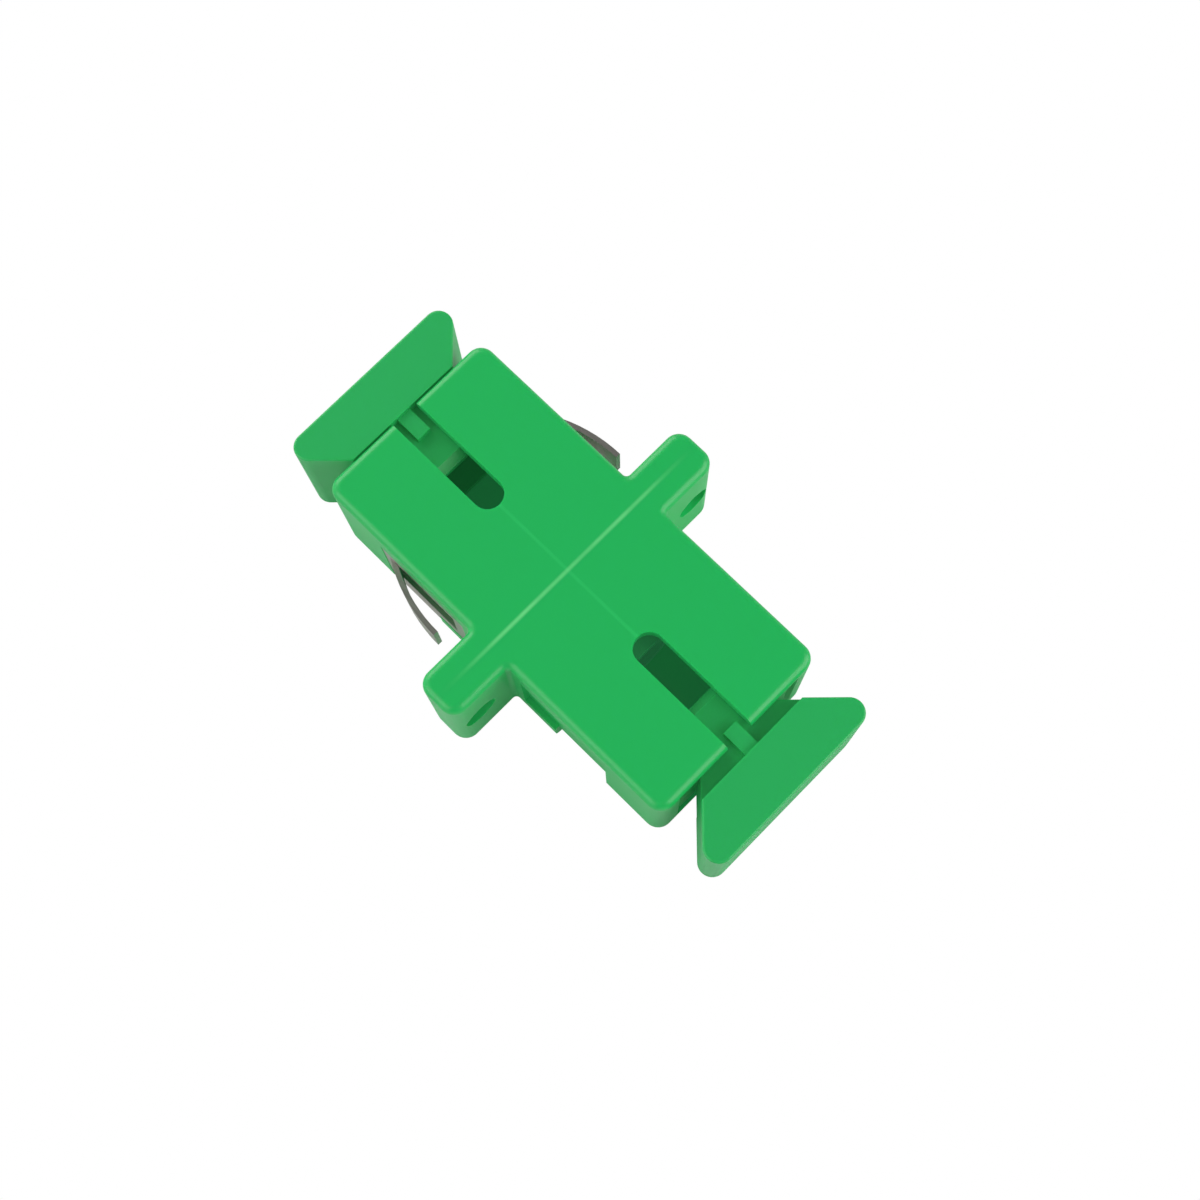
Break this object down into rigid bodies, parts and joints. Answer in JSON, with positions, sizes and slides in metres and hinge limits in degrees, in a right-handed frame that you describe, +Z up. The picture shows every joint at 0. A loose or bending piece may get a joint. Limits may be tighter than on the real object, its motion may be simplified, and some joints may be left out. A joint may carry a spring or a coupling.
{
  "type": "sc fibre adapter",
  "caption": "Square-port fibre-optic through adapter with screw ears, spring panel clip and two flared dust caps.",
  "frame": {"origin": "middle of the weld plane between the two housing halves, centred between the screw holes", "axes": "+X along the ports out of the front port, Y across the screw ears, +Z up towards the key slots"},
  "size_m": [0.0352, 0.0216, 0.0094],
  "materials": {
    "housing": "semi-gloss green moulding",
    "dust_cap": "soft satin green moulding",
    "latch_holder": "satin green moulding",
    "split_sleeve": "polished zirconia",
    "panel_clip": "stainless spring sheet"
  },
  "bodies": {
    "adapter": {"housing_front": "housing", "housing_rear": "housing", "latch_holder_front": "latch_holder", "latch_holder_rear": "latch_holder", "split_sleeve": "split_sleeve", "panel_clip": "panel_clip"},
    "front_cap": {"dust_cap_front": "dust_cap"},
    "rear_cap": {"dust_cap_rear": "dust_cap"}
  },
  "joints": [
    {"name": "front_cap_pull", "type": "slide", "parent": "adapter", "child": "front_cap", "axis": [1, 0, 0], "range_m": [-0.0009, 0.012]},
    {"name": "rear_cap_pull", "type": "slide", "parent": "adapter", "child": "rear_cap", "axis": [-1, 0, 0], "range_m": [0, 0.012]}
  ]
}
